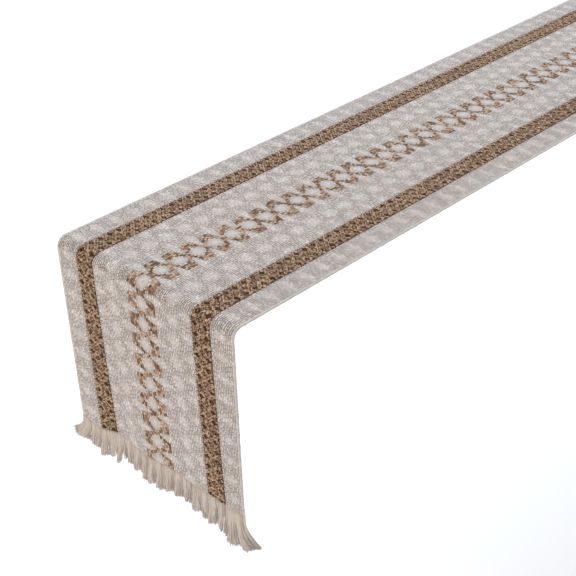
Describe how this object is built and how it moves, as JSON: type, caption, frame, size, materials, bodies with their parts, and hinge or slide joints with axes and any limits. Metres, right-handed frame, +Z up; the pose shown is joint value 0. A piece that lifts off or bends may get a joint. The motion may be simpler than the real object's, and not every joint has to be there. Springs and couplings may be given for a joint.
{
  "type": "table runner",
  "caption": "Woven cloth runner with two brown stripes, a diamond chain and tasselled ends, draped over a table with both ends hanging.",
  "frame": {"origin": "middle of the underside of the cloth, where it lies on the table top", "axes": "+X along the runner from the front end to the back end, +Y to its left seen from the front, +Z up out of the table top"},
  "size_m": [1.37, 0.3526, 0.3334],
  "materials": {
    "cream_weave": "matt woven cotton and linen",
    "cream_selvedge": "matt corded selvedge",
    "brown_weave": "matt chunky woven yarn",
    "tan_weave": "matt raised pattern yarn",
    "cream_fringe": "soft frayed yarn",
    "sewing_thread": "fine sewn thread"
  },
  "bodies": {
    "top_panel": {"ground_cloth_top": "cream_weave", "left_stripe_top": "brown_weave", "left_selvedge_top": "cream_selvedge", "right_stripe_top": "brown_weave", "right_selvedge_top": "cream_selvedge", "diamond_chain_top": "tan_weave"},
    "front_drop": {"ground_cloth_front_drop": "cream_weave", "left_stripe_front_drop": "brown_weave", "left_selvedge_front_drop": "cream_selvedge", "right_stripe_front_drop": "brown_weave", "right_selvedge_front_drop": "cream_selvedge", "diamond_chain_front_drop": "tan_weave", "front_end_hem": "cream_weave", "front_fringe_tape": "cream_fringe", "front_hem_stitching": "sewing_thread"},
    "front_fringe": {"front_tassel_01": "cream_fringe", "front_tassel_02": "cream_fringe", "front_tassel_03": "cream_fringe", "front_tassel_04": "cream_fringe", "front_tassel_05": "cream_fringe", "front_tassel_06": "cream_fringe", "front_tassel_07": "cream_fringe", "front_tassel_08": "cream_fringe", "front_tassel_09": "cream_fringe", "front_tassel_10": "cream_fringe", "front_tassel_11": "cream_fringe", "front_tassel_12": "cream_fringe", "front_tassel_13": "cream_fringe", "front_tassel_14": "cream_fringe", "front_tassel_15": "cream_fringe", "front_tassel_16": "cream_fringe"},
    "back_drop": {"ground_cloth_back_drop": "cream_weave", "left_stripe_back_drop": "brown_weave", "left_selvedge_back_drop": "cream_selvedge", "right_stripe_back_drop": "brown_weave", "right_selvedge_back_drop": "cream_selvedge", "diamond_chain_back_drop": "tan_weave", "back_end_hem": "cream_weave", "back_fringe_tape": "cream_fringe", "back_hem_stitching": "sewing_thread"},
    "back_fringe": {"back_tassel_01": "cream_fringe", "back_tassel_02": "cream_fringe", "back_tassel_03": "cream_fringe", "back_tassel_04": "cream_fringe", "back_tassel_05": "cream_fringe", "back_tassel_06": "cream_fringe", "back_tassel_07": "cream_fringe", "back_tassel_08": "cream_fringe", "back_tassel_09": "cream_fringe", "back_tassel_10": "cream_fringe", "back_tassel_11": "cream_fringe", "back_tassel_12": "cream_fringe", "back_tassel_13": "cream_fringe", "back_tassel_14": "cream_fringe", "back_tassel_15": "cream_fringe", "back_tassel_16": "cream_fringe"}
  },
  "joints": [
    {"name": "front_fold", "type": "hinge", "parent": "top_panel", "child": "front_drop", "pos_m": [-0.68075, 0, -0.00175], "axis": [0, 1, 0], "range_deg": [0, 90]},
    {"name": "front_fringe_swing", "type": "hinge", "parent": "front_drop", "child": "front_fringe", "pos_m": [-0.6821, 0, -0.27889], "axis": [0, 1, 0], "range_deg": [-80, 80]},
    {"name": "back_fold", "type": "hinge", "parent": "top_panel", "child": "back_drop", "pos_m": [0.68075, 0, -0.00175], "axis": [0, -1, 0], "range_deg": [0, 90]},
    {"name": "back_fringe_swing", "type": "hinge", "parent": "back_drop", "child": "back_fringe", "pos_m": [0.6821, 0, -0.27889], "axis": [0, -1, 0], "range_deg": [-80, 80]}
  ]
}
